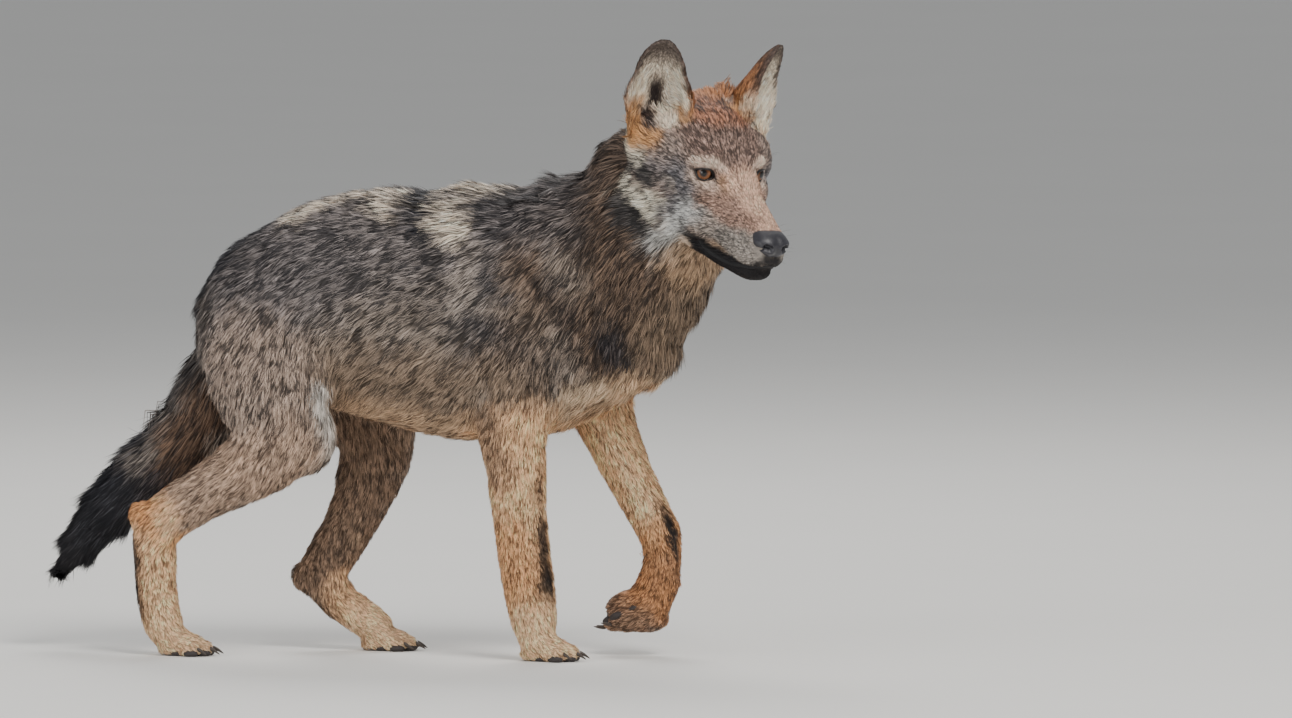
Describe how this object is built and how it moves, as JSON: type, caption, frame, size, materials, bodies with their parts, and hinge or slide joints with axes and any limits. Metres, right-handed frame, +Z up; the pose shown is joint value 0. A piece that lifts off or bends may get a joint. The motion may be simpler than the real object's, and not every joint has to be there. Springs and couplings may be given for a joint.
{
  "type": "young grey wolf",
  "caption": "Life-size still model of a young grey wolf at a walk, head turned to its right, one forepaw lifted and the other paws flat on the floor.",
  "frame": {"origin": "middle of the bounding box seen from above, at floor level under the soles", "axes": "+X the way the wolf walks, +Y to its left, +Z up"},
  "size_m": [0.9486, 0.2622, 0.7627],
  "materials": {
    "coat_grey": "matte fur, grizzled grey-brown with dark tips",
    "coat_tan": "matte short fur, tan with pale paws",
    "coat_dark": "matte fur, blue-black over brown",
    "nose_leather": "moist pebbled skin, slate black",
    "eye_amber": "wet gloss, amber-brown iris",
    "claw_horn": "satin dark horn"
  },
  "bodies": {
    "root": {"claw_forepaw_left_1": "claw_horn", "claw_forepaw_left_2": "claw_horn", "claw_forepaw_left_3": "claw_horn", "claw_forepaw_left_4": "claw_horn", "claw_forepaw_right_1": "claw_horn", "claw_forepaw_right_2": "claw_horn", "claw_forepaw_right_3": "claw_horn", "claw_forepaw_right_4": "claw_horn", "claw_hindpaw_left_1": "claw_horn", "claw_hindpaw_left_2": "claw_horn", "claw_hindpaw_left_3": "claw_horn", "claw_hindpaw_left_4": "claw_horn", "claw_hindpaw_right_1": "claw_horn", "claw_hindpaw_right_2": "claw_horn", "claw_hindpaw_right_3": "claw_horn", "claw_hindpaw_right_4": "claw_horn", "ear_left": "coat_grey", "ear_right": "coat_grey", "eye_left": "eye_amber", "eye_right": "eye_amber", "foreleg_left": "coat_tan", "foreleg_right": "coat_tan", "forepaw_left": "coat_tan", "forepaw_right": "coat_tan", "head": "coat_grey", "hindleg_left": "coat_grey", "hindleg_right": "coat_grey", "hindpaw_left": "coat_tan", "hindpaw_right": "coat_tan", "lower_jaw": "coat_grey", "neck": "coat_grey", "nose": "nose_leather", "tail": "coat_dark", "trunk": "coat_grey"}
  },
  "joints": []
}
